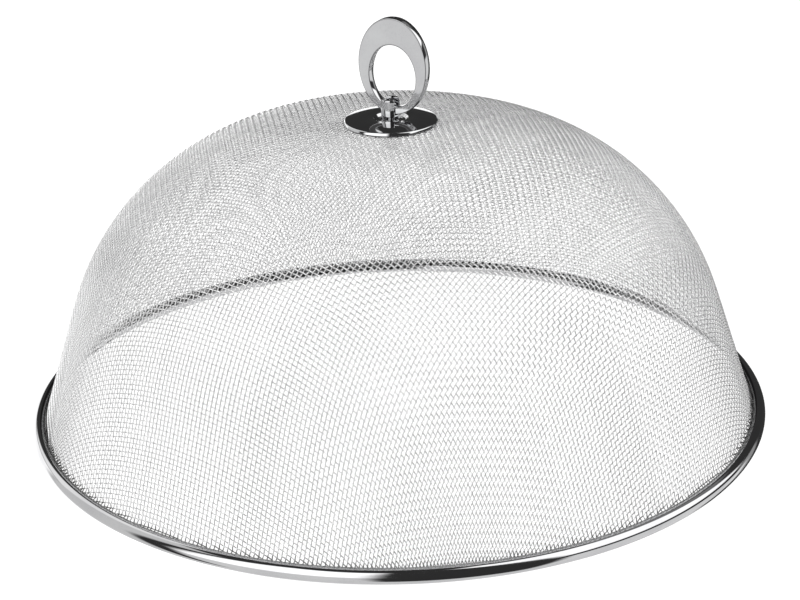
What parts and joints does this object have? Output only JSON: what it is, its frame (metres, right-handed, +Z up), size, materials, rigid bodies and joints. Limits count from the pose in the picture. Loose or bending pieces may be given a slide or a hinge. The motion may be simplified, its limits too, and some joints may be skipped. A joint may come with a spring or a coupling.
{
  "type": "food cover dome",
  "caption": "Round woven-wire food cover with a flat crown, slanted wall, rolled steel rim and an oval chrome ring handle in a slotted post on a pressed base.",
  "frame": {"origin": "on the dome's axis, at the table that the rim stands on", "axes": "+Z up along the dome's axis, X along the ring handle's width, Y across the ring's thickness"},
  "size_m": [0.3, 0.3, 0.1645],
  "materials": {
    "woven_wire": "bright drawn stainless wire",
    "polished_rim": "mirror polished stainless sheet",
    "plain_steel": "plain satin steel",
    "chrome_base": "bright chrome on a pressed sheet",
    "chrome_post": "bright chrome on a turned post",
    "chrome_ring": "bright chrome on a flat ring with rounded edges",
    "nut_steel": "plated steel"
  },
  "bodies": {
    "root": {"mesh_dome": "woven_wire", "rim_band": "polished_rim", "rim_core_wire": "plain_steel", "handle_base": "chrome_base", "handle_post": "chrome_post", "handle_ring": "chrome_ring", "backing_washer": "plain_steel", "spring_washer": "plain_steel", "cap_nut": "nut_steel"}
  },
  "joints": []
}
